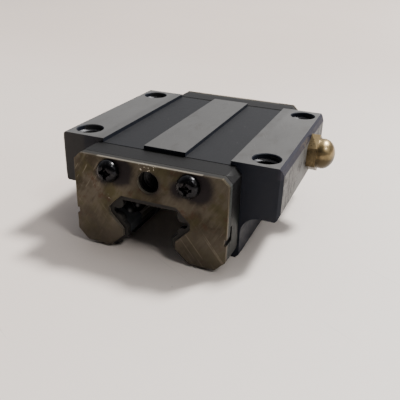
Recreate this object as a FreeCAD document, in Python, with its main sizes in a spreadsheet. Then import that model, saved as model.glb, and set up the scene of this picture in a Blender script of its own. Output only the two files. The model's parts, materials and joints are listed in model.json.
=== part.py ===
"""Linear guide carriage, flanged, for a 23 mm rail: a parametric assembly of separate pieces.

Frame: +Z is the normal of the mounting face, Y runs along the rail and X across it.
The origin is the centre of the four tapped holes, on the mounting face.
The front end is at -Y, and the capped lubrication port is on the +X flange.
"""
import FreeCAD, Part
import os
import re

import Sketcher

Vector = FreeCAD.Vector
Rotation = FreeCAD.Rotation

# Driving dimensions, in millimetres and degrees. A depth is measured down from the mounting face.
DIMENSIONS = {
    # steel block
    "flange_width": 70.0,
    "flange_thickness": 16.0,
    "flange_chamfer": 1.3,
    "corner_chamfer": 0.9,
    "block_length": 57.0,
    "block_height": 30.0,
    "leg_width": 48.0,
    "leg_chamfer": 1.0,
    "under_fillet": 5.5,
    "centre_land": 6.55,
    "outer_land": 20.1,
    "channel_depth": 1.2,
    # four tapped holes, at the nominal radius of their M8 thread
    "pitch_across": 57.0,
    "pitch_along": 45.0,
    "mount_hole_radius": 4.0,
    "mouth_width": 8.5,
    # profile of the 23 mm rail that the carriage runs on
    "rail_crown": 8.6,
    "rail_half": 11.5,
    "rail_waist": 7.1,
    "rail_foot": 10.9,
    "rail_top_depth": 14.0,
    "rail_shoulder_depth": 16.9,
    "rail_undercut_depth": 17.9,
    "rail_waist_depth": 22.4,
    "rail_flare_depth": 25.6,
    # gaps between the rail and what surrounds it
    "lip_gap": 0.15,
    "cap_gap": 0.6,
    "plate_gap": 1.3,
    # inside of the steel block
    "roof_depth": 12.5,
    "roof_half": 9.2,
    "land_half": 13.1,
    "land_top_depth": 16.4,
    "land_foot_depth": 19.17,
    "leg_inner": 10.4,
    "leg_inner_depth": 21.87,
    "rebate_half": 14.0,
    "rebate_depth": 28.6,
    # balls and their tracks
    "ball_radius": 1.9845,
    "straight_balls": 13,
    "turn_balls": 3,
    "race_gap": 0.05,
    "passage_gap": 0.1,
    "tube_wall": 0.7,
    "upper_ball_x": 10.35,
    "upper_ball_depth": 14.95,
    "upper_turn_tilt": 35.0,
    "lower_ball_x": 10.5,
    "lower_ball_depth": 20.5,
    "lower_turn_tilt": -2.0,
    # return guides
    "core_radius": 3.2,
    "core_half_height": 2.6,
    "web_thickness": 1.6,
    # end caps, end seals and scraper plates
    "cap_length": 7.6,
    "cap_step_length": 1.5,
    "cap_step": 0.12,
    "seal_thickness": 1.75,
    "plate_thickness": 1.1,
    "cap_half": 23.6,
    "cap_top_depth": 1.2,
    "cap_foot_depth": 29.0,
    "cap_chamfer": 2.0,
    "cap_foot_chamfer": 3.2,
    "seal_inset": 0.05,
    "lip_bead_radius": 1.85,
    "notch_top_depth": 18.8,
    "notch_foot_depth": 20.6,
    "notch_inset": 0.7,
    "notch_length": 1.2,
    "slot_top_depth": 15.9,
    "slot_inset": 1.0,
    "slot_width": 1.3,
    "oil_groove": 1.2,
    "oil_riser_x": 8.3,
    "oil_riser_foot_depth": 13.0,
    "oil_riser_height": 7.0,
    "oil_gallery_length": 9.5,
    # cap screws
    "screw_x": 12.2,
    "screw_depth": 5.0,
    "screw_radius": 1.98,
    "screw_length": 20.0,
    "screw_hole_radius": 2.2,
    "screw_thread_radius": 2.0,
    "screw_thread_length": 11.0,
    "head_radius": 3.4,
    "head_height": 2.4,
    "head_fillet": 2.1,
    "recess_span": 3.7,
    "recess_width": 0.95,
    "recess_depth": 1.3,
    # lubrication ports
    "port_depth": 6.4,
    "port_radius": 3.0,
    "port_length": 6.6,
    "port_mouth_radius": 3.25,
    "drill_radius": 1.25,
    "side_port_y": 7.2,
    "side_port_depth": 6.9,
    "side_port_length": 8.5,
    "plug_radius": 2.98,
    "plug_length": 5.0,
    "plug_socket": 3.0,
    "plug_socket_depth": 2.5,
    # brass cap of the side port
    "brass_hex": 10.6,
    "brass_hex_height": 2.9,
    "brass_collar_radius": 4.85,
    "brass_collar_height": 1.2,
    "brass_height": 8.0,
    "brass_stem_length": 7.5,
}

doc = FreeCAD.newDocument("linear_guide_carriage")
sheet = doc.addObject("Spreadsheet::Sheet", "Dimensions")
for row, (alias, value) in enumerate(DIMENSIONS.items(), start=1):
    sheet.set("A%d" % row, alias)
    sheet.set("B%d" % row, str(value))
    sheet.setAlias("B%d" % row, alias)
doc.recompute()

# Formulas that several pieces share.
HALF = "block_length / 2"
TURN_RADIUS = "(block_length / straight_balls * turn_balls / pi)"
PASSAGE_RADIUS = "(ball_radius + passage_gap)"
TURN_TILT = {"upper": "upper_turn_tilt", "lower": "lower_turn_tilt"}
CAP_FACE = "(%s + cap_length)" % HALF
SEAL_FACE = "(%s + seal_thickness)" % CAP_FACE
PLATE_FACE = "(%s + plate_thickness)" % SEAL_FACE

FACING_FRONT = Rotation(Vector(1, 0, 0), 90)
FACING_RIGHT = Rotation(Vector(0, 1, 0), 90)
ROWS = ("upper", "lower")

nodes = []


def bound(formula):
    """Turn a formula of sheet names into an expression that refers to the sheet's cells."""

    def cell(word):
        return "Dimensions." + word.group() if word.group() in DIMENSIONS else word.group()

    return re.sub(r"[a-z_]+", cell, formula)


def node(feature, label):
    """Name a finished sub-part, which is one node of the assembly."""
    feature.Label = label
    nodes.append(feature)
    return feature


def size(feature, **formulas):
    """Bind a feature's sizes to the sheet."""
    for name, formula in formulas.items():
        feature.setExpression(name, bound(formula))
    return feature


def place(feature, x="0", y="0", z="0", rotation=Rotation()):
    """Turn a feature and bind its position to the sheet."""
    feature.Placement = FreeCAD.Placement(Vector(), rotation)
    for axis, formula in zip("xyz", (x, y, z)):
        feature.setExpression("Placement.Base." + axis, bound(formula))
    return feature


def mirrored(feature, name, normal):
    """Mirror a feature in the plane through the origin with the given normal."""
    twin = doc.addObject("Part::Mirroring", name)
    twin.Source = feature
    twin.Normal = normal
    return twin


def mirrored_across(feature, name):
    return mirrored(feature, name, Vector(1, 0, 0))


def mirrored_along(feature, name):
    return mirrored(feature, name, Vector(0, 1, 0))


def fused(name, features):
    union = doc.addObject("Part::MultiFuse", name)
    union.Shapes = features
    return union


def cut(name, base, tool):
    result = doc.addObject("Part::Cut", name)
    result.Base = base
    result.Tool = tool
    return result


def grouped(name, features):
    group = doc.addObject("Part::Compound", name)
    group.Links = features
    return group


def box(name, length, width, height):
    return size(doc.addObject("Part::Box", name), Length=length, Width=width, Height=height)


def cylinder(name, radius, height):
    return size(doc.addObject("Part::Cylinder", name), Radius=radius, Height=height)


def drill(name, x, z, radius, start, length):
    """A cylinder along Y, from the given start towards the front."""
    return place(cylinder(name, radius, length), x=x, y=start, z=z, rotation=FACING_FRONT)


def body(name):
    return doc.addObject("PartDesign::Body", name)


def sketch_on(owner, name, role, offset="0"):
    """An empty sketch on one of the body's origin planes, moved along that plane's normal."""
    sketch = owner.newObject("Sketcher::SketchObject", name)
    plane = next(item for item in owner.Origin.OriginFeatures if item.Role == role)
    sketch.AttachmentSupport = (plane, [""])
    sketch.MapMode = "FlatFace"
    sketch.setExpression("AttachmentOffset.Base.z", bound(offset))
    return sketch


def outline(sketch, points):
    """Draw a closed outline through points, whose coordinates are formulas."""
    count = len(points)
    start = [Rotation(Vector(0, 0, 1), -360.0 * i / count).multVec(Vector(0, 10, 0)) for i in range(count)]
    for i in range(count):
        sketch.addGeometry(Part.LineSegment(start[i], start[(i + 1) % count]), False)
    for i in range(count):
        sketch.addConstraint(Sketcher.Constraint("Coincident", i, 2, (i + 1) % count, 1))
    for i, point in enumerate(points):
        for kind, formula, value in zip(("DistanceX", "DistanceY"), point, start[i]):
            number = sketch.addConstraint(Sketcher.Constraint(kind, -1, 1, i, 1, value))
            sketch.setExpression("Constraints[%d]" % number, bound(formula))
    return sketch


def circles(sketch, centres, radius):
    """Draw equal circles at centres, whose coordinates are formulas."""
    for i, centre in enumerate(centres):
        start = Vector(10 * (i + 1), 10, 0)
        circle = sketch.addGeometry(Part.Circle(start, Vector(0, 0, 1), 1), False)
        for kind, formula, value in zip(("DistanceX", "DistanceY"), centre, start):
            number = sketch.addConstraint(Sketcher.Constraint(kind, -1, 1, circle, 3, value))
            sketch.setExpression("Constraints[%d]" % number, bound(formula))
        number = sketch.addConstraint(Sketcher.Constraint("Radius", circle, 1))
        sketch.setExpression("Constraints[%d]" % number, bound(radius))
    return sketch


def pad(owner, name, sketch, length, both_ways=False):
    feature = owner.newObject("PartDesign::Pad", name)
    feature.Profile = sketch
    feature.SideType = "Symmetric" if both_ways else "One side"
    return size(feature, Length=length)


def pocket(owner, name, sketch, length=None):
    """Cut a sketch away from its own plane inwards, or right through both ways."""
    doc.recompute()
    before = owner.Shape.Volume
    feature = owner.newObject("PartDesign::Pocket", name)
    feature.Profile = sketch
    if length is None:
        feature.Type = "ThroughAll"
        feature.SideType = "Symmetric"
    else:
        size(feature, Length=length)
    doc.recompute()
    if not feature.Shape.Volume < before:
        raise RuntimeError(name + " cuts nothing")
    return feature


def both_sides(half):
    """Close a right-hand half outline with its mirror image in the YZ plane."""
    return half + [("-(%s)" % x, z) for x, z in reversed(half)]


def either_side(x, z):
    return [(x, z), ("-(%s)" % x, z)]


def ball_centre(row, travel="loaded"):
    """X and Z of a right-hand row of balls: the loaded row, its turn centre or its return row."""
    reach = {"loaded": "0", "turn": TURN_RADIUS, "return": "2 * " + TURN_RADIUS}[travel]
    tilt = TURN_TILT[row]
    x = "%s_ball_x + %s * cos(%s * 1deg)" % (row, reach, tilt)
    z = "-%s_ball_depth + %s * sin(%s * 1deg)" % (row, reach, tilt)
    return x, z


def rail_side(gap, foot):
    """Right-hand side of the rail's profile, from foot to crown, moved outwards by a gap."""
    return [
        ("rail_foot + 1.4 * %s" % gap, foot),
        ("rail_waist + %s" % gap, "-rail_flare_depth + 0.4 * %s" % gap),
        ("rail_waist + %s" % gap, "-rail_waist_depth - 0.4 * %s" % gap),
        ("rail_half + %s" % gap, "-rail_undercut_depth - 0.3 * %s" % gap),
        ("rail_half + %s" % gap, "-rail_shoulder_depth + 0.5 * %s" % gap),
        ("rail_crown", "-rail_top_depth + 1.45 * %s" % gap),
    ]


def end_outline(inset, gap, notched=False):
    """Outline shared by the cap, seal and scraper plate of one end."""
    half = "cap_half - %s" % inset
    top = "-cap_top_depth - %s" % inset
    foot = "-cap_foot_depth + %s" % inset
    notch = [
        (half, "-notch_top_depth"),
        ("cap_half - notch_inset", "-notch_top_depth"),
        ("cap_half - notch_inset", "-notch_foot_depth"),
        (half, "-notch_foot_depth"),
    ]
    return both_sides([
        ("%s - cap_chamfer" % half, top),
        (half, "%s - cap_chamfer" % top),
    ] + (notch if notched else []) + [
        (half, "%s + cap_foot_chamfer" % foot),
        ("%s - cap_foot_chamfer" % half, foot),
    ] + rail_side(gap, foot))


def edge_names(shape, wanted):
    """Names of the straight edges whose two ends both pass a test."""
    return [
        "Edge%d" % (i + 1)
        for i, edge in enumerate(shape.Edges)
        if isinstance(edge.Curve, Part.Line) and all(wanted(vertex.Point) for vertex in edge.Vertexes)
    ]


def near(value, target):
    return abs(value - target) < 0.01


def make_block():
    """Hardened steel block: flanges, lands, ball races, return bores and tapped holes."""
    block = body("carriage_block")
    half_section = [
        ("centre_land", "0"),
        ("centre_land", "-channel_depth"),
        ("outer_land", "-channel_depth"),
        ("outer_land", "0"),
        ("flange_width / 2 - flange_chamfer", "0"),
        ("flange_width / 2", "-flange_chamfer"),
        ("flange_width / 2", "-flange_thickness + flange_chamfer"),
        ("flange_width / 2 - flange_chamfer", "-flange_thickness"),
        ("leg_width / 2", "-flange_thickness"),
        ("leg_width / 2", "-block_height + leg_chamfer"),
        ("leg_width / 2 - leg_chamfer", "-block_height"),
        ("rebate_half", "-block_height"),
        ("rebate_half", "-rebate_depth"),
        ("leg_inner", "-rebate_depth"),
        ("leg_inner", "-leg_inner_depth"),
        ("land_half", "-land_foot_depth"),
        ("land_half", "-land_top_depth"),
        ("roof_half", "-roof_depth"),
    ]
    section = outline(sketch_on(block, "block_section", "XZ_Plane"), both_sides(half_section))
    solid = pad(block, "block_pad", section, "block_length", both_ways=True)
    doc.recompute()

    fillet = block.newObject("PartDesign::Fillet", "under_flange_fillet")
    corner_x, corner_z = sheet.leg_width / 2, -sheet.flange_thickness
    corners = edge_names(solid.Shape, lambda p: near(abs(p.x), corner_x) and near(p.z, corner_z))
    fillet.Base = (solid, corners)
    size(fillet, Radius="under_fillet")
    doc.recompute()

    chamfer = block.newObject("PartDesign::Chamfer", "flange_corner_chamfer")
    side_x = sheet.flange_width / 2
    corners = edge_names(fillet.Shape, lambda p: near(abs(p.x), side_x) and near(abs(p.y), sheet.block_length / 2))
    chamfer.Base = (fillet, corners)
    size(chamfer, Size="corner_chamfer")
    doc.recompute()

    races = [centre for row in ROWS for centre in either_side(*ball_centre(row))]
    race_sketch = circles(sketch_on(block, "race_circles", "XZ_Plane"), races, "ball_radius + race_gap")
    pocket(block, "ball_races", race_sketch)

    bores = [centre for row in ROWS for centre in either_side(*ball_centre(row, "return"))]
    tube_radius = PASSAGE_RADIUS + " + tube_wall"
    bore_sketch = circles(sketch_on(block, "bore_circles", "XZ_Plane"), bores, tube_radius)
    pocket(block, "return_bores", bore_sketch)

    screws = either_side("screw_x", "-screw_depth")
    screw_sketch = circles(
        sketch_on(block, "cap_screw_circles", "XZ_Plane", HALF), screws, "screw_thread_radius")
    front_holes = pocket(block, "cap_screw_holes", screw_sketch, "screw_thread_length")
    rear_holes = block.newObject("PartDesign::Mirrored", "rear_cap_screw_holes")
    rear_holes.Originals = [front_holes]
    rear_holes.MirrorPlane = (next(p for p in block.Origin.OriginFeatures if p.Role == "XZ_Plane"), [""])
    block.Tip = rear_holes

    port = [("side_port_y", "-side_port_depth")]
    port_sketch = circles(sketch_on(block, "side_port_circle", "YZ_Plane", "flange_width / 2"), port, "port_radius")
    pocket(block, "side_port", port_sketch, "side_port_length")
    drill_sketch = circles(
        sketch_on(block, "side_drill_circle", "YZ_Plane", "flange_width / 2"), port, "drill_radius")
    reach = "flange_width / 2 - (%s)" % ball_centre("upper", "return")[0]
    pocket(block, "side_drilling", drill_sketch, reach)

    centres = [
        (x + "pitch_across / 2", y + "pitch_along / 2")
        for x in ("", "-") for y in ("", "-")
    ]
    hole_sketch = circles(sketch_on(block, "mount_hole_circles", "XY_Plane"), centres, "mount_hole_radius")
    doc.recompute()
    before = block.Shape.Volume
    hole = block.newObject("PartDesign::Hole", "mount_holes")
    hole.Profile = hole_sketch
    hole.DepthType = "ThroughAll"
    hole.Threaded = False
    hole.HoleCutType = "Countersink"
    size(hole, Diameter="2 * mount_hole_radius", HoleCutDiameter="mouth_width")
    hole.HoleCutCountersinkAngle = 90
    doc.recompute()
    if not hole.Shape.Volume < before:
        raise RuntimeError("the tapped holes cut nothing")
    return node(block, "carriage_block")


def make_strip(name, points):
    """A strip of constant section that runs the block's length."""
    strip = body(name)
    pad(strip, name + "_pad", outline(sketch_on(strip, name + "_section", "XZ_Plane"), points),
        "block_length", both_ways=True)
    return strip


def make_strips():
    """Ball retainers and bottom seals, whose free edges are given as plain heights."""
    top = [("9.1", "-roof_depth"), ("8.75", "-roof_depth - 0.9")]
    node(make_strip("top_retainer", both_sides(top)), "top_ball_retainer")
    pairs = {
        "side_ball_retainer": [
            ("land_half", "-16.5"), ("12.5", "-16.7"), ("12.0", "-17.1"),
            ("12.0", "-18.3"), ("12.4", "-18.8"), ("land_half", "-19.1"),
        ],
        "lower_ball_retainer": [
            ("leg_inner", "-22.75"), ("9.3", "-22.6"), ("8.45", "-21.9"),
            ("7.75", "-22.5"), ("7.75", "-24.2"), ("leg_inner", "-24.2"),
        ],
        "bottom_seal": [
            ("rebate_half", "-rebate_depth"), ("leg_inner", "-rebate_depth"), ("10.0", "-29.1"),
            ("leg_inner", "-29.6"), ("rebate_half", "-29.6"),
        ],
    }
    for name, points in pairs.items():
        right = node(make_strip(name + "_profile", points), name + "_right")
        node(mirrored_across(right, name + "_mirror"), name + "_left")


def make_return_tubes():
    """Resin sleeves in the four return bores."""
    for row in ROWS:
        x, z = ball_centre(row, "return")
        outside = drill("tube_outside_" + row, x, z, PASSAGE_RADIUS + " + tube_wall", HALF, "block_length")
        inside = drill("tube_inside_" + row, x, z, PASSAGE_RADIUS, HALF, "block_length")
        right = node(cut("tube_" + row, outside, inside), "return_tube_%s_right" % row)
        node(mirrored_across(right, "tube_mirror_" + row), "return_tube_%s_left" % row)


def make_turn(row):
    """Half-round core and half-torus passage of a front right-hand ball turn."""
    x, z = ball_centre(row, "turn")
    tilt = Rotation(Vector(0, 1, 0), -getattr(sheet, TURN_TILT[row])).multiply(Rotation(Vector(1, 0, 0), 180))
    core = cylinder("turn_core_" + row, "core_radius", "2 * core_half_height")
    core.Angle = 180
    core.Placement = FreeCAD.Placement(Vector(), Rotation())
    core.setExpression("Placement.Base.z", bound("-core_half_height"))
    seat = place(grouped("turn_seat_" + row, [core]), x=x, y="-(%s)" % HALF, z=z, rotation=tilt)
    passage = size(
        doc.addObject("Part::Torus", "turn_passage_" + row), Radius1=TURN_RADIUS, Radius2=PASSAGE_RADIUS)
    passage.Angle3 = 180
    place(passage, x=x, y="-(%s)" % HALF, z=z, rotation=tilt)
    return seat, passage


def make_end_caps():
    """Resin end caps with their inner return guides, which together form the ball turns."""
    cores, passages = zip(*(make_turn(row) for row in ROWS))
    web = box("guide_web", "web_thickness", "web_thickness", "core_radius + web_thickness")
    web_x, web_z = ball_centre("lower", "turn")
    place(web, x=web_x, y="-(%s) - web_thickness" % HALF, z="%s + core_half_height - 0.5" % web_z)
    blank = fused("guide_blank", list(cores) + [web])
    channels = fused("turn_channels", list(passages))
    guide = node(cut("return_guide", blank, channels), "return_guide_front_right")
    guide_left = node(mirrored_across(guide, "return_guide_left"), "return_guide_front_left")
    node(mirrored_along(guide, "return_guide_rear"), "return_guide_rear_right")
    node(mirrored_along(guide_left, "return_guide_rear_left"), "return_guide_rear_left")

    shell = body("cap_shell")
    step_sketch = outline(sketch_on(shell, "cap_step_outline", "XZ_Plane", HALF),
                          end_outline("cap_step", "cap_gap"))
    pad(shell, "cap_step_pad", step_sketch, "cap_step_length")
    shell_sketch = outline(sketch_on(shell, "cap_outline", "XZ_Plane", HALF + " + cap_step_length"),
                           end_outline("0", "cap_gap"))
    pad(shell, "cap_pad", shell_sketch, "cap_length - cap_step_length")
    screw_sketch = circles(
        sketch_on(shell, "cap_screw_openings", "XZ_Plane", CAP_FACE),
        either_side("screw_x", "-screw_depth"), "screw_hole_radius")
    pocket(shell, "cap_screw_bores", screw_sketch)
    port_sketch = circles(
        sketch_on(shell, "cap_port_circle", "XZ_Plane", CAP_FACE), [("0", "-port_depth")], "port_radius")
    pocket(shell, "cap_port", port_sketch, "port_length")
    oil_sketch = circles(
        sketch_on(shell, "cap_oil_circle", "XZ_Plane", CAP_FACE), [("0", "-port_depth")], "drill_radius")
    pocket(shell, "cap_oil_hole", oil_sketch)

    cavity = fused("turn_cavity", [blank, channels])
    notch = box("side_notch", "2 * notch_inset", "notch_length", "notch_foot_depth - notch_top_depth")
    place(notch, x="cap_half - notch_inset", y="-" + CAP_FACE, z="-notch_foot_depth")
    slot = box("side_slot", "2 * slot_inset", "slot_width", "notch_top_depth - slot_top_depth")
    place(slot, x="cap_half - slot_inset", y="-" + CAP_FACE, z="-notch_top_depth")
    riser = box("oil_riser", "oil_groove", "oil_groove", "oil_riser_height")
    place(riser, x="oil_riser_x", y="-(%s) - oil_groove" % HALF, z="-oil_riser_foot_depth")
    gallery = box("oil_gallery", "oil_gallery_length", "oil_groove", "oil_groove")
    place(gallery, y="-(%s) - oil_groove" % HALF, z="-port_depth - oil_groove / 2")
    tools = fused("cap_hollows_right", [cavity, notch, slot, riser, gallery])
    hollows = fused("cap_hollows", [tools, mirrored_across(tools, "cap_hollows_left")])
    cap = node(cut("end_cap", shell, hollows), "front_end_cap")
    node(mirrored_along(cap, "end_cap_rear"), "rear_end_cap")


def make_end_sheet(name, inset, gap, start, thickness):
    """A flat piece on the end cap, with its rail opening, two screw holes and the port hole."""
    piece = body(name)
    pad(piece, name + "_pad", outline(sketch_on(piece, name + "_outline", "XZ_Plane", start),
                                      end_outline(inset, gap, notched=True)), thickness)
    holes = circles(sketch_on(piece, name + "_screw_circles", "XZ_Plane", start),
                    either_side("screw_x", "-screw_depth"), "screw_hole_radius")
    pocket(piece, name + "_screw_holes", holes)
    port = circles(sketch_on(piece, name + "_port_circle", "XZ_Plane", start),
                   [("0", "-port_depth")], "port_mouth_radius")
    pocket(piece, name + "_port_hole", port)
    return piece


def make_end_sheets():
    """Rubber end seals, with beads that wipe the rail's ball grooves, and the steel scraper plates."""
    seal = make_end_sheet("end_seal", "seal_inset", "lip_gap", CAP_FACE, "seal_thickness")
    beads = [centre for row in ROWS for centre in either_side(*ball_centre(row))]
    bead_sketch = circles(sketch_on(seal, "bead_circles", "XZ_Plane", CAP_FACE), beads, "lip_bead_radius")
    pad(seal, "bead_pad", bead_sketch, "seal_thickness")
    plate = make_end_sheet("scraper_plate", "0", "plate_gap", SEAL_FACE, "plate_thickness")
    for piece in (seal, plate):
        name = piece.Name
        node(piece, "front_" + name)
        node(mirrored_along(piece, name + "_rear"), "rear_" + name)


def make_cap_screws():
    """Pan-head cross-recess screws, two at each end."""
    head = cylinder("screw_head", "head_radius", "head_height")
    doc.recompute()
    rim = [i + 1 for i, edge in enumerate(head.Shape.Edges)
           if isinstance(edge.Curve, Part.Circle) and near(edge.CenterOfMass.z, sheet.head_height)]
    pan = doc.addObject("Part::Fillet", "screw_pan")
    pan.Base = head
    pan.Edges = [(number, sheet.head_fillet, sheet.head_fillet) for number in rim]
    shank = place(cylinder("screw_shank", "screw_radius", "screw_length"), z="-screw_length")
    blade_a = place(box("recess_a", "recess_span", "recess_width", "2 * recess_depth"),
                    x="-recess_span / 2", y="-recess_width / 2", z="head_height - recess_depth")
    blade_b = place(box("recess_b", "recess_width", "recess_span", "2 * recess_depth"),
                    x="-recess_width / 2", y="-recess_span / 2", z="head_height - recess_depth")
    point = size(doc.addObject("Part::Cone", "recess_point"), Radius1="0.4 * recess_width",
                 Radius2="1.3 * recess_width", Height="1.5 * recess_depth")
    place(point, z="head_height - 1.5 * recess_depth")
    recess = fused("screw_recess", [blade_a, blade_b, point])
    screw = cut("screw", fused("screw_solid", [pan, shank]), recess)
    place(screw, x="screw_x", y="-" + PLATE_FACE, z="-screw_depth", rotation=FACING_FRONT)
    pair = node(grouped("screw_pair", [screw, mirrored_across(screw, "screw_left")]), "front_cap_screws")
    node(mirrored_along(pair, "screw_pair_rear"), "rear_cap_screws")


def hexagon(sketch, across):
    """Draw a hexagon with the given width across its flats, with two corners on the X axis."""
    corner = "%s / sqrt(3)" % across
    side = "%s / 2" % corner
    flat = "%s / 2" % across
    return outline(sketch, [
        (corner, "0"), (side, "-" + flat), ("-" + side, "-" + flat),
        ("-" + corner, "0"), ("-" + side, flat), (side, flat),
    ])


def make_port_pieces():
    """Set screw in the rear port, and the domed brass cap in the side port."""
    plug = body("port_plug")
    pad(plug, "plug_pad", circles(sketch_on(plug, "plug_circle", "XY_Plane"), [("0", "0")], "plug_radius"),
        "plug_length")
    socket = hexagon(sketch_on(plug, "plug_hexagon", "XY_Plane", "plug_length"), "plug_socket")
    pocket(plug, "plug_socket_pocket", socket, "plug_socket_depth")
    place(plug, y="%s - plug_length" % CAP_FACE, z="-port_depth", rotation=Rotation(Vector(1, 0, 0), -90))
    node(plug, "rear_port_plug")

    head = body("brass_head")
    hex_sketch = hexagon(sketch_on(head, "brass_hexagon", "XY_Plane"), "brass_hex")
    pad(head, "brass_hex_pad", hex_sketch, "brass_hex_height")
    crown = body("brass_crown")
    collar_top = "brass_hex_height + brass_collar_height"
    dome = crown.newObject("Sketcher::SketchObject", "brass_profile")
    plane = next(item for item in crown.Origin.OriginFeatures if item.Role == "XZ_Plane")
    dome.AttachmentSupport = (plane, [""])
    dome.MapMode = "FlatFace"
    outline(dome, [
        ("0", "-brass_stem_length"), ("plug_radius", "-brass_stem_length"), ("plug_radius", "0"),
        ("brass_collar_radius - 0.4", "0"), ("brass_collar_radius", collar_top), ("0", collar_top),
    ])
    turned = crown.newObject("PartDesign::Revolution", "brass_turned")
    turned.Profile = dome
    turned.ReferenceAxis = (dome, ["V_Axis"])
    turned.Angle = 360
    ball = size(doc.addObject("Part::Ellipsoid", "brass_dome"), Radius2="brass_collar_radius",
                Radius1="brass_height - (%s)" % collar_top)
    ball.Angle1 = 0
    place(ball, z=collar_top)
    brass = fused("brass_cap", [head, crown, ball])
    place(brass, x="flange_width / 2", y="side_port_y", z="-side_port_depth", rotation=FACING_RIGHT)
    node(brass, "side_port_cap")


def sphere(name, x, y, z):
    return place(size(doc.addObject("Part::Sphere", name), Radius="ball_radius"), x=x, y=y, z=z)


def make_balls():
    """Four circuits of balls: a loaded row, a return row and two turns each."""
    straight = int(sheet.straight_balls)
    turning = int(sheet.turn_balls)
    for row in ROWS:
        groups = {}
        for travel in ("loaded", "return"):
            x, z = ball_centre(row, travel)
            groups[travel + "_balls"] = [
                sphere("%s_%s_%d" % (travel, row, i), x,
                       "(%d - (straight_balls - 1) / 2) * block_length / straight_balls" % i, z)
                for i in range(straight)
            ]
        x, z = ball_centre(row, "turn")
        tilt = TURN_TILT[row]
        spheres = []
        for i in range(turning):
            angle = "((%d + 0.5) * 180deg / turn_balls)" % i
            along = "%s * cos(%s)" % (TURN_RADIUS, angle)
            spheres.append(sphere(
                "turn_%s_%d" % (row, i),
                "%s + %s * cos(%s * 1deg)" % (x, along, tilt),
                "-(%s) - %s * sin(%s)" % (HALF, TURN_RADIUS, angle),
                "%s + %s * sin(%s * 1deg)" % (z, along, tilt)))
        groups["front_turn_balls"] = spheres
        for name, balls in groups.items():
            right = node(grouped("%s_%s" % (name, row), balls), "%s_%s_right" % (name, row))
            left = node(mirrored_across(right, "%s_%s_mirror" % (name, row)), "%s_%s_left" % (name, row))
            if name == "front_turn_balls":
                for side, source in (("right", right), ("left", left)):
                    twin = mirrored_along(source, "rear_turn_%s_%s" % (row, side))
                    node(twin, "rear_turn_balls_%s_%s" % (row, side))


make_block()
make_strips()
make_return_tubes()
make_end_caps()
make_end_sheets()
make_cap_screws()
make_port_pieces()
make_balls()
doc.recompute()

for item in doc.Objects:
    if "Invalid" in item.State or "Error" in item.State:
        raise RuntimeError("%s failed to recompute" % item.Name)
for part in nodes:
    if part.Shape.isNull() or not part.Shape.isValid():
        raise RuntimeError("%s has no valid shape" % part.Label)

os.makedirs("parts", exist_ok=True)
for part in nodes:
    part.Shape.exportStep("parts/%s.step" % part.Label)
print("wrote %d nodes" % len(nodes))
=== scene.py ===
"""Looks of the linear guide carriage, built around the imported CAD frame.

Everything is in metres in the row frame: +Z out of the mounting face, Y along the rail, front at -Y.
Material positions are in millimetres in the same frame.
"""
import json
import math

import bpy
from mathutils import Euler, Matrix, Vector


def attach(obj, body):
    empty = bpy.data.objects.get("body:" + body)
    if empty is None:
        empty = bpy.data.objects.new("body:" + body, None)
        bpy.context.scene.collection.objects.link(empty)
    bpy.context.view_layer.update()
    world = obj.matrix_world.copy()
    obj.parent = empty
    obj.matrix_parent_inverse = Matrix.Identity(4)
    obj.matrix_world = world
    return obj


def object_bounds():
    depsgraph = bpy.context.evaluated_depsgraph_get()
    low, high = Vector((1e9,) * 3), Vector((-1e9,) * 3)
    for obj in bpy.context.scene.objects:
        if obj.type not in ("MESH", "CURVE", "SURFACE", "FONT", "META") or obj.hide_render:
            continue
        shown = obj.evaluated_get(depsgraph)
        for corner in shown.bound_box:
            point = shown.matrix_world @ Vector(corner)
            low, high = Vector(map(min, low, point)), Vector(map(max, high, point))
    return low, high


MM = 0.001
STATIC_BODY = "carriage"

# Places on the CAD model, in millimetres.
HALF_WIDTH = 35.0
CHANNEL_DEPTH = 1.2
PLATE_HALF_WIDTH = 23.5
FLANGE_THICKNESS = 16.0

# A flat face looks along an axis when its normal's part along that axis is over this.
FACING = 0.95
# Inputs and output of a Mix node that blends colours.
COLOUR_A, COLOUR_B, COLOUR_RESULT = 6, 7, 2

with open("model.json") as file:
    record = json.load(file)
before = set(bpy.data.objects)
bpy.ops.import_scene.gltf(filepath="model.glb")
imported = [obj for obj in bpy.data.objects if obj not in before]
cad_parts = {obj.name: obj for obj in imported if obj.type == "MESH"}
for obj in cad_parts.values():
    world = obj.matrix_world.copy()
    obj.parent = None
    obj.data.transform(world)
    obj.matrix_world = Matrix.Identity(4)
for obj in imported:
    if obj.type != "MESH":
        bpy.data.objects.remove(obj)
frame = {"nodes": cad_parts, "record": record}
cad_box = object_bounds()
nodes = frame["nodes"]
mounts = {mount["name"]: mount for mount in frame["record"]["mounts"]}


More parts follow.
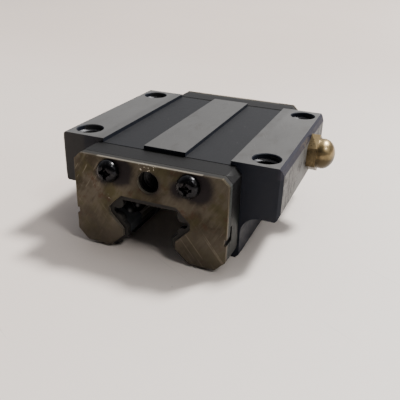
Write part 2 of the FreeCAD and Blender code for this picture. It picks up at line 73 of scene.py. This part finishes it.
class Paint:
    """One procedural material. Sockets may be numbers, colours or other nodes' outputs."""

    def __init__(self, name, **fixed):
        self.material = bpy.data.materials.new(name)
        self.material.use_nodes = True
        self.tree = self.material.node_tree
        self.tree.nodes.clear()
        self.shader = self.tree.nodes.new("ShaderNodeBsdfPrincipled")
        output = self.tree.nodes.new("ShaderNodeOutputMaterial")
        self.tree.links.new(self.shader.outputs["BSDF"], output.inputs["Surface"])
        for socket, value in fixed.items():
            self.shader.inputs[socket.replace("_", " ")].default_value = value
        coordinates = self.tree.nodes.new("ShaderNodeTexCoord")
        metres = coordinates.outputs["Object"]
        self.place = self.node("ShaderNodeVectorMath", {0: metres, 1: [1 / MM] * 3},
                               operation="MULTIPLY").outputs[0]
        geometry = self.tree.nodes.new("ShaderNodeNewGeometry")
        self.x, self.y, self.z = self.split(self.place)
        self.nx, self.ny, self.nz = self.split(geometry.outputs["True Normal"])

    def node(self, kind, inputs=None, **settings):
        made = self.tree.nodes.new(kind)
        for name, value in settings.items():
            setattr(made, name, value)
        for key, value in (inputs or {}).items():
            if isinstance(value, bpy.types.NodeSocket):
                self.tree.links.new(value, made.inputs[key])
            elif value is not None:
                made.inputs[key].default_value = value
        return made

    def split(self, vector):
        parts = self.node("ShaderNodeSeparateXYZ", {0: vector})
        return parts.outputs[0], parts.outputs[1], parts.outputs[2]

    def math(self, operation, a, b=0.0):
        return self.node("ShaderNodeMath", {0: a, 1: b}, operation=operation).outputs[0]

    def over(self, value, limit):
        return self.math("GREATER_THAN", value, limit)

    def under(self, value, limit):
        return self.math("LESS_THAN", value, limit)

    def absolute(self, a):
        return self.math("ABSOLUTE", a)

    def both(self, *factors):
        """Product of masks: 1 where all of them hold."""
        result = factors[0]
        for factor in factors[1:]:
            result = self.math("MULTIPLY", result, factor)
        return result

    def either(self, *factors):
        """Largest of several masks."""
        result = factors[0]
        for factor in factors[1:]:
            result = self.math("MAXIMUM", result, factor)
        return result

    def rise(self, value, low, high):
        """0 where value is at low and 1 where it is at high, which may be the smaller of the two."""
        ranged = self.node("ShaderNodeMapRange", {"Value": value, "From Min": low, "From Max": high},
                           interpolation_type="SMOOTHSTEP")
        return ranged.outputs["Result"]

    def scaled(self, value, factor, offset=0.0):
        return self.node("ShaderNodeMath", {0: value, 1: factor, 2: offset},
                         operation="MULTIPLY_ADD").outputs[0]

    def stretched(self, stretch, turn=(0, 0, 0), shift=(0, 0, 0)):
        """The position, turned, then scaled along the turned axes, then shifted."""
        angles = [math.radians(angle) for angle in turn]
        turned = self.node("ShaderNodeVectorRotate", {"Vector": self.place, "Rotation": angles},
                           rotation_type="EULER_XYZ").outputs[0]
        return self.node("ShaderNodeVectorMath", {0: turned, 1: stretch, 2: shift},
                         operation="MULTIPLY_ADD").outputs[0]

    def noise(self, scale, stretch=(1, 1, 1), detail=4.0, roughness=0.55, turn=(0, 0, 0), shift=(0, 0, 0)):
        """Cloudy pattern around 0.5, with scale spots to a millimetre."""
        texture = self.node("ShaderNodeTexNoise", {
            "Vector": self.stretched(stretch, turn, shift), "Scale": scale, "Detail": detail,
            "Roughness": roughness})
        return texture.outputs["Fac"]

    def flecks(self, spacing, radius, share):
        """Round specks: 1 inside a fleck. share is the part of the cells that holds one."""
        texture = self.node("ShaderNodeTexVoronoi", {
            "Vector": self.place, "Scale": 1.0 / spacing, "Randomness": 1.0})
        spot = self.rise(texture.outputs["Distance"], radius, 0.4 * radius)
        chosen = self.under(self.split(texture.outputs["Color"])[0], share)
        return self.both(spot, chosen)

    def distance_across(self, x, z):
        """Distance from the line along Y through x and z."""
        offset = self.node("ShaderNodeVectorMath", {0: self.place, 1: (x, 0.0, z)}, operation="SUBTRACT")
        flat = self.node("ShaderNodeVectorMath", {0: offset.outputs[0], 1: (1, 0, 1)}, operation="MULTIPLY")
        return self.node("ShaderNodeVectorMath", {0: flat.outputs[0]}, operation="LENGTH").outputs["Value"]

    def scratches(self, width, length, turn, level, shift=(0, 0, 0)):
        """Thin lines that run along X once the position is turned. A higher level leaves fewer."""
        across = 0.5 / width
        lines = self.noise(1.0, stretch=(1.0 / length, across, across), detail=0.0, turn=turn, shift=shift)
        return self.rise(lines, level, level + 0.05)

    def mix(self, factor, a, b):
        """Colour between a and b."""
        ends = [end if isinstance(end, bpy.types.NodeSocket) else (*end, 1.0) for end in (a, b)]
        blended = self.node("ShaderNodeMix", {0: factor, COLOUR_A: ends[0], COLOUR_B: ends[1]},
                            data_type="RGBA")
        return blended.outputs[COLOUR_RESULT]

    def blend(self, factor, a, b):
        """Plain number between a and b."""
        return self.node("ShaderNodeMix", {"Factor": factor, "A": a, "B": b}).outputs["Result"]

    def bump(self, height, distance, below=None):
        """Relief of the given height in millimetres, on top of an earlier one."""
        return self.node("ShaderNodeBump", {
            "Height": height, "Distance": distance * MM, "Normal": below}).outputs[0]

    def finish(self, **sockets):
        """Give the shader its last sockets and return the material."""
        for socket, value in sockets.items():
            target = self.shader.inputs[socket.replace("_", " ")]
            if isinstance(value, bpy.types.NodeSocket):
                self.tree.links.new(value, target)
            else:
                target.default_value = value
        return self.material


def land_steel(p, cloud, grinding):
    """Colour of the ground lands: grinding lines, stains, hairlines and a painted reflection on part of
    them.
    """
    stain = p.rise(p.noise(0.16, stretch=(1.0, 0.5, 1.0), detail=6.0, roughness=0.65), 0.50, 0.72)
    hairlines = p.scratches(0.10, 9.0, (0, 0, 65), 0.76)
    colour = p.mix(cloud, (0.150, 0.147, 0.142), (0.225, 0.221, 0.213))
    colour = p.mix(p.scaled(grinding, 0.35), colour, (0.28, 0.274, 0.264))
    colour = p.mix(p.scaled(stain, 0.5), colour, (0.118, 0.105, 0.090))
    colour = p.mix(p.scaled(hairlines, 0.3), colour, (0.36, 0.35, 0.335))
    # painted reflection: the left land and the rear of the right one are painted brighter than the rest
    right_rear = p.both(p.rise(p.x, 22.0, 24.0), p.rise(p.y, -6.0, 22.0))
    painted_brighter_lands = p.either(p.rise(p.x, -22.0, -24.0), right_rear)
    return p.mix(p.scaled(painted_brighter_lands, 0.35), colour, (0.30, 0.294, 0.284))


def side_steel(p, cloud):
    """Colour of the ground sides, streaked along the rail."""
    streaks = p.rise(p.noise(1.1, stretch=(1.0, 0.12, 1.0), detail=4.0), 0.50, 0.70)
    colour = p.mix(cloud, (0.070, 0.0695, 0.068), (0.125, 0.124, 0.121))
    return p.mix(p.scaled(streaks, 0.6), colour, (0.045, 0.043, 0.041))


def side_pits(p, side):
    """Mask of the rust pits in the sides, which crowd at both ends."""
    pits = p.rise(p.noise(0.55, stretch=(1.0, 0.9, 0.7), detail=5.0, roughness=0.72), 0.50, 0.54)
    near_ends = p.rise(p.absolute(p.y), 13.0, 19.0)
    patch = p.either(near_ends, p.rise(p.noise(0.13, detail=2.0, shift=(3, 9, 4)), 0.45, 0.62))
    return p.both(side, pits, patch)


def oxide_skin(p, mottle, channel, inside):
    """Colour of the blackened faces, with violet chamfers, painted light on the front of the left flange,
    dust in the channels and bright inner races.
    """
    chamfer = p.both(p.rise(p.absolute(p.x), HALF_WIDTH - 2.0, HALF_WIDTH - 1.0), p.rise(p.z, -3.4, -3.0),
                     p.under(p.nz, FACING))
    # painted light: the front face of the left flange is lighter than the other oxide
    painted_light_left_front = p.both(p.rise(p.x, -26.0, -28.0), p.under(p.ny, -0.5))
    dust = p.both(channel, p.rise(p.noise(0.6, detail=7.0, roughness=0.75), 0.60, 0.75))
    flecks = p.flecks(2.6, 0.10, share=0.22)
    race = p.both(inside, p.rise(p.noise(0.25, stretch=(1, 0.2, 1), detail=4.0), 0.35, 0.65))
    colour = p.mix(mottle, (0.0037, 0.0054, 0.0110), (0.0090, 0.0120, 0.0215))
    for mask, dark, light in (
            (chamfer, (0.0120, 0.0118, 0.0200), (0.0220, 0.0215, 0.0350)),
            (painted_light_left_front, (0.0165, 0.0165, 0.0175), (0.0330, 0.0330, 0.0345)),
            (channel, (0.0075, 0.0080, 0.0098), (0.0150, 0.0155, 0.0178))):
        colour = p.mix(mask, colour, p.mix(mottle, dark, light))
    colour = p.mix(p.scaled(dust, 0.22), colour, (0.085, 0.082, 0.077))
    colour = p.mix(p.scaled(flecks, 0.45), colour, (0.14, 0.137, 0.133))
    return p.mix(p.scaled(race, 0.75), colour, (0.22, 0.21, 0.195))


def block_steel():
    """Blackened steel with ground lands and sides, and an oily inside."""
    p = Paint("block_steel", Specular_IOR_Level=0.28)
    from_middle = p.absolute(p.x)
    upward = p.over(p.nz, FACING)
    outward = p.over(p.absolute(p.nx), FACING)
    land = p.both(upward, p.over(p.z, -0.05))
    channel = p.both(upward, p.under(p.z, 0.2 - CHANNEL_DEPTH), p.over(p.z, -0.2 - CHANNEL_DEPTH))
    inside = p.both(p.under(from_middle, 13.4), p.under(p.z, -12.3), p.under(p.absolute(p.ny), 0.5))
    # the grinding of the sides stops at a ragged line a little above the underside of the flange
    ragged = p.scaled(p.noise(0.5, stretch=(1, 0.4, 1), detail=5.0), 0.9, -0.45)
    stop = 2.0 - FLANGE_THICKNESS
    reached = p.rise(p.math("ADD", p.z, ragged), stop, stop + 0.3)
    side = p.both(outward, p.over(from_middle, HALF_WIDTH - 0.05), reached)
    ground = p.either(land, side)

    cloud = p.noise(0.09, detail=5.0)
    grinding = p.noise(7.0, stretch=(1.0, 0.035, 1.0), detail=3.0)
    mottle = p.noise(0.35, detail=6.0, roughness=0.6)
    pits = side_pits(p, side)
    steel = p.mix(side, land_steel(p, cloud, grinding), side_steel(p, cloud))
    steel = p.mix(pits, steel, (0.014, 0.014, 0.014))
    colour = p.mix(ground, oxide_skin(p, mottle, channel, inside), steel)

    metallic = p.blend(ground, p.blend(inside, 0.15, 0.85), p.blend(side, 1.0, 0.3))
    rough_ground = p.math("ADD", p.scaled(p.noise(1.2, detail=5.0), 0.22, 0.30), p.scaled(side, 0.12))
    roughness = p.blend(ground, p.scaled(mottle, 0.30, 0.44), rough_ground)
    relief = p.bump(p.both(ground, grinding), 0.006)
    relief = p.bump(p.scaled(pits, -1.0), 0.03, below=relief)
    cast_grain = p.both(p.scaled(ground, -1.0, 1.0), p.noise(4.5, detail=3.0))
    relief = p.bump(cast_grain, 0.012, below=relief)
    return p.finish(Base_Color=colour, Metallic=metallic, Normal=relief, Roughness=roughness)


def thread_steel():
    """Cut thread: dark, with oily bright crests."""
    p = Paint("thread_steel", Metallic=0.4, Specular_IOR_Level=0.3)
    wear = p.noise(1.6, detail=4.0)
    colour = p.mix(wear, (0.012, 0.012, 0.014), (0.075, 0.075, 0.080))
    return p.finish(Base_Color=colour, Roughness=p.scaled(wear, 0.25, 0.34),
                    Normal=p.bump(p.noise(6.0), 0.01))


def cap_resin():
    """Dark moulded resin: a warm grey with dust, lighter on the top, with greener painted light on the lower
    sides and painted light in the rail opening.
    """
    p = Paint("cap_resin", Specular_IOR_Level=0.22)
    cloud = p.noise(0.22, detail=6.0, roughness=0.65)
    upward = p.rise(p.nz, 0.3, 0.9)
    colour = p.mix(cloud, (0.0020, 0.0020, 0.0024), (0.0048, 0.0049, 0.0054))
    colour = p.mix(upward, colour, p.mix(cloud, (0.0052, 0.0051, 0.0053), (0.0105, 0.0101, 0.0102)))
    # painted light: the lower parts of the sides are lighter and greener
    low = p.both(p.rise(p.absolute(p.nx), 0.6, 0.95), p.rise(p.z, -11.0, -17.0))
    colour = p.mix(low, colour, p.mix(cloud, (0.0030, 0.0052, 0.0046), (0.0070, 0.0105, 0.0095)))
    # painted light: the walls over the rail opening are much lighter than the rest of the cap
    painted_lit_throat = p.both(p.rise(p.absolute(p.x), 19.0, 17.5), p.rise(p.z, -9.5, -10.5))
    colour = p.mix(painted_lit_throat, colour, p.mix(cloud, (0.038, 0.043, 0.049), (0.068, 0.076, 0.085)))
    dust = p.rise(p.noise(1.1, detail=7.0, roughness=0.75), 0.58, 0.78)
    colour = p.mix(p.scaled(dust, 0.2), colour, (0.055, 0.053, 0.049))
    grain = p.noise(7.0, detail=2.0)
    relief = p.bump(grain, 0.010)
    relief = p.bump(p.noise(0.7, detail=3.0), 0.03, below=relief)
    return p.finish(Base_Color=colour, Normal=relief, Roughness=p.scaled(cloud, 0.25, 0.38))


def guide_resin():
    """Plain moulded resin of the inner ball guides and return tubes."""
    p = Paint("guide_resin")
    cloud = p.noise(0.5, detail=5.0)
    colour = p.mix(cloud, (0.050, 0.053, 0.060), (0.080, 0.084, 0.092))
    return p.finish(Base_Color=colour, Roughness=p.scaled(cloud, 0.2, 0.42),
                    Normal=p.bump(p.noise(6.0), 0.008))


# Centre (x and z) and reach of the grime around the screws and the port of a plate, in millimetres.
PLATE_GRIME = (
    ((14.4, -5.0), 6.0), ((9.2, -6.8), 3.8), ((-9.2, -4.4), 6.0), ((-13.6, -6.6), 4.2), ((0.3, -6.6), 4.6),
)


def plate_patina(p, fine, rust):
    """Colour of the brown and olive patina, lighter on the legs, with painted shade at the middle and right.
    """
    broad = p.noise(0.10, detail=5.0, shift=(5, 0, 2))
    olive = p.rise(p.noise(0.13, detail=4.0, shift=(11, 0, 7)), 0.46, 0.62)
    streak = p.noise(0.9, stretch=(1.0, 1.0, 0.16), detail=5.0, turn=(0, -32, 0))
    colour = p.mix(p.rise(broad, 0.40, 0.57), (0.034, 0.0265, 0.0155), (0.090, 0.0770, 0.0570))
    colour = p.mix(p.scaled(olive, 0.8), colour, (0.060, 0.0530, 0.0225))
    colour = p.mix(p.scaled(p.rise(streak, 0.50, 0.78), 0.55), colour, (0.145, 0.124, 0.094))
    colour = p.mix(p.scaled(p.rise(streak, 0.46, 0.25), 0.6), colour, (0.021, 0.0150, 0.0085))
    colour = p.mix(p.scaled(rust, 0.75), colour, (0.058, 0.0280, 0.0170))
    colour = p.mix(p.scaled(p.rise(fine, 0.60, 0.80), 0.35), colour, (0.014, 0.0110, 0.0080))
    # painted shade: the middle and the right of the plate are darkened
    middle = p.both(p.rise(p.x, -9.0, -4.0), p.rise(p.z, -16.0, -9.0))
    painted_shade_middle_right = p.either(middle, p.rise(p.x, 8.0, 14.0))
    colour = p.mix(p.scaled(painted_shade_middle_right, 0.38), colour, (0.012, 0.0085, 0.0035))
    legs = p.rise(p.z, -15.0, -20.0)
    return p.mix(p.scaled(legs, 0.35), colour, (0.116, 0.100, 0.078))


def plate_grime(p, fine):
    """Mask of the ragged grime around the two screws and the port."""
    raggedness = p.scaled(fine, 3.0, -1.5)
    return p.either(*[
        p.rise(p.math("ADD", p.distance_across(*centre), raggedness), reach, reach - 2.4)
        for centre, reach in PLATE_GRIME])


def plate_rim(p):
    """Mask of the rubbed top edge, its corners and the outer edges, fainter on every wall of the outline."""
    from_middle = p.absolute(p.x)
    corner = p.rise(p.math("ADD", from_middle, p.z), 19.95, 20.2)
    rim = p.either(p.rise(p.z, -1.55, -1.35), corner,
                   p.rise(from_middle, PLATE_HALF_WIDTH - 0.10, PLATE_HALF_WIDTH + 0.02))
    rim = p.both(rim, p.rise(p.noise(0.8, detail=5.0, roughness=0.7), 0.34, 0.52))
    return p.either(p.scaled(rim, 0.8), p.scaled(p.rise(p.absolute(p.ny), 0.9, 0.6), 0.5))


def plate_scratches(p, fine):
    """Mask of scratches that fall or rise to the right: faint all over, and stronger in three places."""
    falling, rising = (0, -52, 0), (0, 58, 0)
    lower_right = p.both(p.rise(p.x, 7.0, 9.5), p.rise(p.z, -9.0, -12.0))
    upper_left = p.both(p.rise(p.x, -14.0, -17.5), p.rise(p.z, -14.0, -8.0))
    left_leg = p.both(p.rise(p.x, -10.0, -13.0), p.rise(p.z, -12.0, -15.0))
    cuts = p.either(
        p.scaled(p.scratches(0.14, 6.0, rising, 0.78), 0.4),
        p.scaled(p.both(lower_right, p.scratches(0.20, 20.0, falling, 0.73, shift=(3, 1, 5))), 0.8),
        p.both(upper_left, p.scratches(0.20, 3.2, rising, 0.69, shift=(7, 2, 1))),
        p.scaled(p.both(left_leg, p.scratches(0.24, 8.0, falling, 0.72, shift=(1, 4, 9))), 0.5))
    return p.both(cuts, p.rise(fine, 0.30, 0.55))


def plate_nicks(p):
    """Mask of bright nicks over the port and at the upper left corner of the rail opening, on the front."""
    nick_x, nick_z = -12.3, -14.3
    near_port = p.both(p.rise(p.z, -3.2, -2.7), p.rise(p.absolute(p.x), 2.9, 2.2))
    near_opening = p.both(p.rise(p.absolute(p.math("SUBTRACT", p.x, nick_x)), 1.2, 0.6),
                          p.rise(p.absolute(p.math("SUBTRACT", p.z, nick_z)), 2.2, 1.2))
    return p.both(p.flecks(0.55, 0.42, share=0.55), p.either(near_port, near_opening), p.under(p.y, 0.0))


def plate_steel():
    """Scraper plate: steel under a brown and olive patina, with rust, scratches and rubbed edges."""
    p = Paint("plate_steel", Specular_IOR_Level=0.2)
    fine = p.noise(0.45, detail=7.0, roughness=0.7)
    rust = p.rise(p.noise(0.24, detail=6.0, roughness=0.7, shift=(2, 0, 31)), 0.54, 0.68)
    worn, cuts, nicks = plate_rim(p), plate_scratches(p, fine), plate_nicks(p)
    opening_walls = p.both(p.rise(p.absolute(p.ny), 0.5, 0.3), p.under(p.absolute(p.x), 16.0))
    colour = plate_patina(p, fine, rust)
    for mask, strength, tint in (
            (plate_grime(p, fine), 0.95, (0.0055, 0.0035, 0.0055)),
            (worn, 0.5, (0.12, 0.100, 0.076)),
            (cuts, 0.5, (0.24, 0.212, 0.168)),
            (opening_walls, 0.7, (0.30, 0.27, 0.22)),
            (nicks, 0.8, (0.62, 0.58, 0.50))):
        colour = p.mix(p.scaled(mask, strength), colour, tint)
    metallic = p.scaled(p.either(worn, cuts, nicks), 0.45, 0.45)
    relief = p.bump(fine, 0.008)
    relief = p.bump(p.scaled(p.either(cuts, rust), -1.0), 0.012, below=relief)
    return p.finish(Base_Color=colour, Metallic=metallic, Normal=relief,
                    Roughness=p.scaled(fine, 0.35, 0.32))


def seal_rubber():
    """Dull seal rubber, greyer on the outer edge that lies flush with the caps."""
    p = Paint("seal_rubber", Specular_IOR_Level=0.3)
    cloud = p.noise(0.6, detail=6.0)
    colour = p.mix(cloud, (0.010, 0.0095, 0.009), (0.024, 0.0225, 0.0205))
    outer = p.rise(p.absolute(p.x), PLATE_HALF_WIDTH - 0.3, PLATE_HALF_WIDTH)
    colour = p.mix(outer, colour, p.mix(cloud, (0.014, 0.0165, 0.0155), (0.026, 0.030, 0.028)))
    return p.finish(Base_Color=colour, Roughness=p.scaled(cloud, 0.2, 0.58),
                    Normal=p.bump(p.noise(5.0), 0.02))


def black_screw():
    """Glossy black oxide with rubbed, slightly bright high spots, and painted shade on the downward faces.
    """
    p = Paint("black_screw", Metallic=0.85)
    smudge = p.noise(0.9, detail=6.0, roughness=0.7)
    colour = p.mix(p.rise(smudge, 0.45, 0.75), (0.010, 0.010, 0.012), (0.045, 0.044, 0.043))
    # painted shade: the downward faces are darkened
    below = p.rise(p.nz, 0.1, -0.5)
    colour = p.mix(p.scaled(below, 0.6), colour, (0.006, 0.006, 0.007))
    return p.finish(Base_Color=colour, Roughness=p.scaled(smudge, 0.28, 0.10),
                    Normal=p.bump(smudge, 0.02))


def brass():
    """Tarnished brass with a speckled patina; the hexagon is darker, partly tarnished and partly painted
    shade, and the downward faces carry painted shade.
    """
    p = Paint("brass", Metallic=1.0)
    cloud = p.noise(0.35, detail=6.0, roughness=0.65)
    colour = p.mix(cloud, (0.26, 0.185, 0.092), (0.44, 0.335, 0.178))
    dome_start = 38.2
    hexagon = p.rise(p.x, dome_start, dome_start - 0.6)
    patina = p.rise(p.noise(1.3, detail=6.0, roughness=0.75), 0.50, 0.66)
    # the hexagon is darker, partly tarnished and partly painted shade from the block beside it
    tarnish_and_shade = p.blend(hexagon, p.scaled(patina, 0.25), p.scaled(patina, 0.7, 0.25))
    colour = p.mix(tarnish_and_shade, colour, (0.075, 0.058, 0.031))
    # painted shade: the downward faces are darkened, standing in for the shadowed floor they reflect
    painted_shade_underside = p.rise(p.math("ADD", p.nz, p.scaled(cloud, 0.5, -0.25)), 0.38, -0.20)
    colour = p.mix(p.scaled(painted_shade_underside, 0.9), colour, (0.030, 0.025, 0.016))
    roughness = p.blend(hexagon, p.scaled(cloud, 0.20, 0.26), p.scaled(patina, 0.25, 0.38))
    dents = p.noise(1.6, detail=3.0)
    return p.finish(Base_Color=colour, Normal=p.bump(dents, 0.03), Roughness=roughness)


def ball_steel():
    """Bearing balls dulled by a thin film of oil."""
    p = Paint("ball_steel", Metallic=1.0)
    film = p.noise(0.5, detail=4.0)
    colour = p.mix(film, (0.035, 0.036, 0.038), (0.10, 0.100, 0.102))
    return p.finish(Base_Color=colour, Roughness=p.scaled(film, 0.15, 0.32), Normal=p.bump(film, 0.003))


def retainer_steel():
    """Rolled strip that holds the balls."""
    p = Paint("retainer_steel", Metallic=0.9)
    rolled = p.noise(2.5, stretch=(1, 0.05, 1), detail=3.0)
    colour = p.mix(rolled, (0.20, 0.19, 0.175), (0.34, 0.33, 0.31))
    return p.finish(Base_Color=colour, Roughness=p.scaled(rolled, 0.2, 0.3), Normal=p.bump(rolled, 0.006))


def floor_surface():
    """Off-white worktop with faint scratches, specks, a slow change of tone, painted light to the right and
    painted shade towards the back.
    """
    p = Paint("floor_surface", Roughness=0.62, Specular_IOR_Level=0.3)
    slow = p.noise(0.006, detail=3.0)
    colour = p.mix(slow, (0.74, 0.630, 0.560), (0.84, 0.750, 0.685))
    # painted light: brighter towards the right
    colour = p.mix(p.rise(p.x, -60.0, 160.0), colour, (0.96, 0.915, 0.865))
    # painted shade: darker and warmer towards the back
    colour = p.mix(p.scaled(p.rise(p.y, 70.0, 330.0), 0.6), colour, (0.68, 0.565, 0.490))
    mottle = p.noise(0.12, detail=5.0)
    colour = p.mix(p.scaled(mottle, 0.12), colour, (0.60, 0.585, 0.56))
    specks = p.flecks(9.0, 0.05, share=0.5)
    colour = p.mix(p.scaled(specks, 0.4), colour, (0.42, 0.39, 0.34))
    lines = p.scratches(0.35, 45.0, (0, 0, 28), 0.80)
    colour = p.mix(p.scaled(lines, 0.3), colour, (0.52, 0.50, 0.47))
    return p.finish(Base_Color=colour, Normal=p.bump(p.noise(2.0), 0.01))


MATERIALS = {
    "block_steel": block_steel, "cap_resin": cap_resin, "guide_resin": guide_resin,
    "retainer_steel": retainer_steel, "seal_rubber": seal_rubber, "plate_steel": plate_steel,
    "black_screw": black_screw, "brass": brass, "ball_steel": ball_steel,
}
# Width of the rounded edges of each kind of CAD piece, in millimetres.
EDGE_WIDTHS = {
    "carriage_block": 0.18, "front_end_cap": 0.3, "rear_end_cap": 0.3, "front_scraper_plate": 0.12,
    "rear_scraper_plate": 0.12, "front_end_seal": 0.15, "rear_end_seal": 0.15,
    "top_ball_retainer": 0.1, "side_port_cap": 0.45, "bottom_seal_right": 0.15, "bottom_seal_left": 0.15,
}


def dress_nodes():
    """Give every CAD node its procedural material, and those in EDGE_WIDTHS softened edges."""
    slots = {part["node"]: part["material_slot"] for part in frame["record"]["subparts"]}
    made = {slot: build() for slot, build in MATERIALS.items()}
    for name, piece in nodes.items():
        for index in range(len(piece.material_slots)):
            piece.material_slots[index].material = made[slots[name]]
        if name in EDGE_WIDTHS:
            weld = piece.modifiers.new("weld", "WELD")
            weld.merge_threshold = 0.002 * MM
            bevel = piece.modifiers.new("soft_edges", "BEVEL")
            bevel.width = EDGE_WIDTHS[name] * MM
            bevel.segments = 2
            bevel.limit_method = "ANGLE"
            bevel.angle_limit = math.radians(38)
            bevel.use_clamp_overlap = True


# Section of a thread's ridge over one pitch: whether the point is on the crest, and its rise.
RIDGE_SECTION = ((False, 0.05), (True, 0.42), (True, 0.58), (False, 0.95))
# Depth to which a ridge's root is sunk into the wall, in millimetres.
RIDGE_ROOT = 0.03
STEPS_PER_TURN = 40
# Share of a turn over which a ridge grows at its start and fades at its end.
LEAD_IN = 0.7


def ridge_mesh(wall, crest, pitch, length):
    """Points in millimetres and faces of a ridge that winds up from the origin along Z."""
    count = int(length / pitch * STEPS_PER_TURN)
    sides = len(RIDGE_SECTION)
    points, faces = [], []
    for i in range(count + 1):
        turned = i / STEPS_PER_TURN
        angle = 2 * math.pi * turned
        lead = min(1.0, turned / LEAD_IN, (count - i) / STEPS_PER_TURN / LEAD_IN)
        top = wall - (wall - crest) * max(lead, 0.05)
        for on_crest, rise in RIDGE_SECTION:
            radius = top if on_crest else wall + RIDGE_ROOT
            height = (turned + rise) * pitch
            points.append(Vector((radius * math.cos(angle), radius * math.sin(angle), height)))
    for i in range(count):
        here, after = sides * i, sides * (i + 1)
        for j in range(sides):
            k = (j + 1) % sides
            faces.append((here + j, after + j, after + k, here + k))
    faces.append(tuple(range(sides)))
    faces.append(tuple(reversed(range(sides * count, sides * (count + 1)))))
    return points, faces


def thread_ridge(name, centre, axis, wall, crest, pitch, length, material):
    """An internal thread: a ridge that winds along axis from centre, standing inwards from the wall."""
    points, faces = ridge_mesh(wall, crest, pitch, length)
    turn = Vector((0, 0, 1)).rotation_difference(Vector(axis)).to_matrix()
    mesh = bpy.data.meshes.new(name)
    mesh.from_pydata([turn @ (point * MM) + Vector(centre) for point in points], [], faces)
    for polygon in mesh.polygons:
        polygon.use_smooth = True
    mesh.materials.append(material)
    ridge = bpy.data.objects.new(name, mesh)
    bpy.context.scene.collection.objects.link(ridge)
    crisp = ridge.modifiers.new("crisp", "EDGE_SPLIT")
    crisp.split_angle = math.radians(30)
    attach(ridge, STATIC_BODY)


def make_threads():
    """M8 threads in the mounting holes and the M6 thread of the front port."""
    steel = thread_steel()
    m8_pitch, m8_height, m8_inset = 1.25, 0.62, 0.35
    holes = mounts["mounting_holes"]["dims"]
    across, along, wall = holes["spacing_x_mm"] / 2, holes["spacing_y_mm"] / 2, holes["hole_r_mm"]
    for x_name, x in (("right", across), ("left", -across)):
        for y_name, y in (("front", -along), ("rear", along)):
            top = (x * MM, y * MM, -m8_inset * MM)
            thread_ridge("mount_thread_%s_%s" % (y_name, x_name), top, (0, 0, -1), wall, wall - m8_height,
                         m8_pitch, FLANGE_THICKNESS - 2 * m8_inset, steel)

    # m6_bare is the part of the port's length that has no thread, at both ends together
    m6_pitch, m6_height, m6_inset, m6_bare = 1.0, 0.5, 0.3, 0.9
    port = mounts["front_grease_port"]
    length, wall = port["dims"]["length_mm"], port["dims"]["r_mm"]
    mouth = Vector(port["pos_m"]) + Vector(port["axis"]) * (length / 2 - m6_inset) * MM
    thread_ridge("front_port_thread", mouth, -Vector(port["axis"]), wall, wall - m6_height, m6_pitch,
                 length - m6_bare, steel)


def make_floor():
    """A wide worktop under the lowest point of the object."""
    low = cad_box[0].z
    half = 4.0
    corners = [(-half, -half, low), (half, -half, low), (half, half, low), (-half, half, low)]
    mesh = bpy.data.meshes.new("floor")
    mesh.from_pydata(corners, [], [(0, 1, 2, 3)])
    mesh.materials.append(floor_surface())
    floor = bpy.data.objects.new("floor", mesh)
    bpy.context.scene.collection.objects.link(floor)


def toward(azimuth, elevation):
    """Direction at an azimuth measured from the front towards +X, and an elevation, in degrees."""
    turn, rise = math.radians(azimuth), math.radians(elevation)
    return Vector((math.sin(turn) * math.cos(rise), -math.cos(turn) * math.cos(rise), math.sin(rise)))


# Middle of the object, which the lamps face.
MIDDLE = Vector((0, 0, -0.015))


def make_light(name, azimuth, elevation, distance, size, power, colour):
    """A rectangular lamp that faces the object."""
    lamp = bpy.data.lights.new(name, "AREA")
    lamp.shape = "RECTANGLE"
    lamp.size, lamp.size_y = size
    lamp.energy = power
    lamp.color = colour
    holder = bpy.data.objects.new(name, lamp)
    bpy.context.scene.collection.objects.link(holder)
    direction = toward(azimuth, elevation)
    holder.location = MIDDLE + direction * distance
    holder.rotation_euler = direction.to_track_quat("Z", "Y").to_euler()


def make_lights():
    """Lamps behind, right and overhead, and a low window on the right."""
    make_light("lamp_behind", 145, 56, 2.4, (0.40, 0.40), 108.0, (1.0, 0.985, 0.965))
    make_light("lamp_right", 68, 50, 2.3, (0.40, 0.40), 14.0, (1.0, 0.985, 0.97))
    make_light("ceiling", 120, 72, 2.2, (1.1, 1.1), 7.5, (1.0, 0.985, 0.965))
    make_light("window", 88, 27, 2.0, (0.9, 0.6), 1.7, (0.97, 0.98, 1.0))


def make_room():
    """Surroundings that are brightest low at the back and dimmest at the front."""
    world = bpy.data.worlds.new("room")
    world.use_nodes = True
    tree = world.node_tree
    direction = tree.nodes.new("ShaderNodeTexCoord")
    facing = tree.nodes.new("ShaderNodeVectorMath")
    facing.operation = "DOT_PRODUCT"
    tree.links.new(direction.outputs["Generated"], facing.inputs[0])
    facing.inputs[1].default_value = toward(212, 12)
    depth = tree.nodes.new("ShaderNodeMapRange")
    depth.interpolation_type = "SMOOTHSTEP"
    tree.links.new(facing.outputs["Value"], depth.inputs["Value"])
    dim, bright = 0.055, 0.62
    for socket, value in (("From Min", -0.3), ("From Max", 0.95), ("To Min", dim), ("To Max", bright)):
        depth.inputs[socket].default_value = value
    background = tree.nodes["Background"]
    background.inputs["Color"].default_value = (0.97, 0.97, 1.0, 1.0)
    tree.links.new(depth.outputs["Result"], background.inputs["Strength"])
    bpy.context.scene.world = world


def make_camera():
    """Camera at the photograph's viewing angle."""
    target = Vector((10.43, -26.02, -15.0)) * MM
    direction = toward(21.71, 26.06)
    roll = math.radians(1.83)
    distance = 154.7 * MM
    lens = bpy.data.cameras.new("camera")
    lens.sensor_width = 36.0
    lens.lens = 47.37
    lens.clip_start = 0.005
    camera = bpy.data.objects.new("camera", lens)
    bpy.context.scene.collection.objects.link(camera)
    facing = direction.to_track_quat("Z", "Y").to_matrix() @ Euler((0, 0, roll)).to_matrix()
    camera.matrix_world = Matrix.Translation(target + direction * distance) @ facing.to_4x4()
    bpy.context.scene.camera = camera


dress_nodes()
make_threads()
make_floor()
make_lights()
make_room()
make_camera()

bpy.context.view_layer.update()
